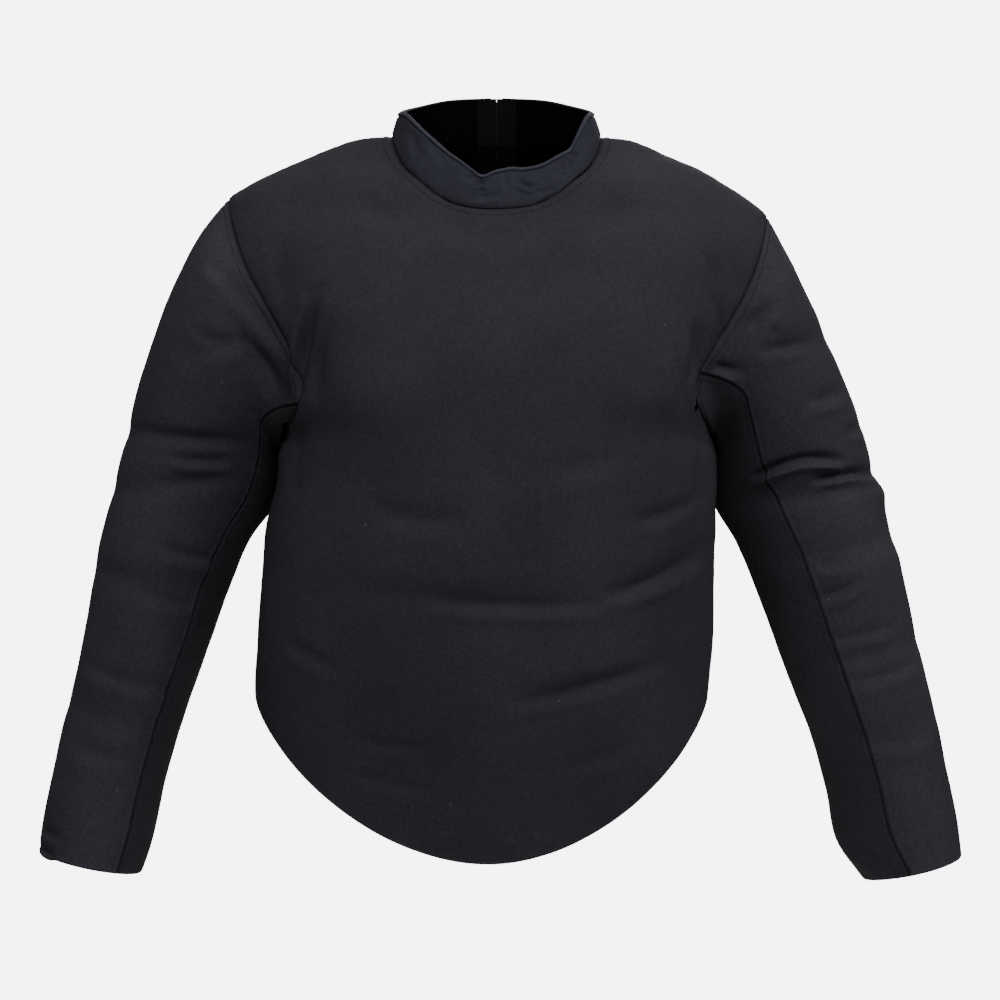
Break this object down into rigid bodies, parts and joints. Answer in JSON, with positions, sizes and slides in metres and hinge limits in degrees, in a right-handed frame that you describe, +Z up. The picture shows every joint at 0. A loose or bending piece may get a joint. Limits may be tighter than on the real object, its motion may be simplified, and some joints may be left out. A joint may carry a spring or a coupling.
{
  "type": "fencing coaching jacket",
  "caption": "Padded black coaching jacket in its worn shape, with a rounded apron front, stand collar, full sleeves and a back zip.",
  "frame": {"origin": "middle of the neck hole, level with the neck ends of the shoulder seams, where the wearer's neck and shoulders hold the jacket up", "axes": "+Z up along the wearer, the wearer faces -Y, +X to the wearer's left"},
  "size_m": [0.855, 0.2885, 0.7383],
  "materials": {
    "shell": "matt woven cotton, black",
    "collar": "smooth twill, blue-black",
    "tape": "woven zip tape",
    "teeth": "moulded",
    "zip_metal": "black lacquer"
  },
  "bodies": {
    "jacket": {"front": "shell", "back_left": "shell", "back_right": "shell", "sleeve_left_upper": "shell", "sleeve_left_under": "shell", "sleeve_right_upper": "shell", "sleeve_right_under": "shell", "collar": "collar", "zip_tape_left": "tape", "zip_tape_right": "tape", "zip_chain": "teeth", "zip_slider": "zip_metal", "zip_box": "zip_metal"},
    "pull": {"zip_pull": "zip_metal"}
  },
  "joints": [
    {"name": "pull_swing", "type": "hinge", "parent": "jacket", "child": "pull", "pos_m": [0, 0.06452, 0.03452], "axis": [1, 0, 0], "range_deg": [0, 150]}
  ]
}
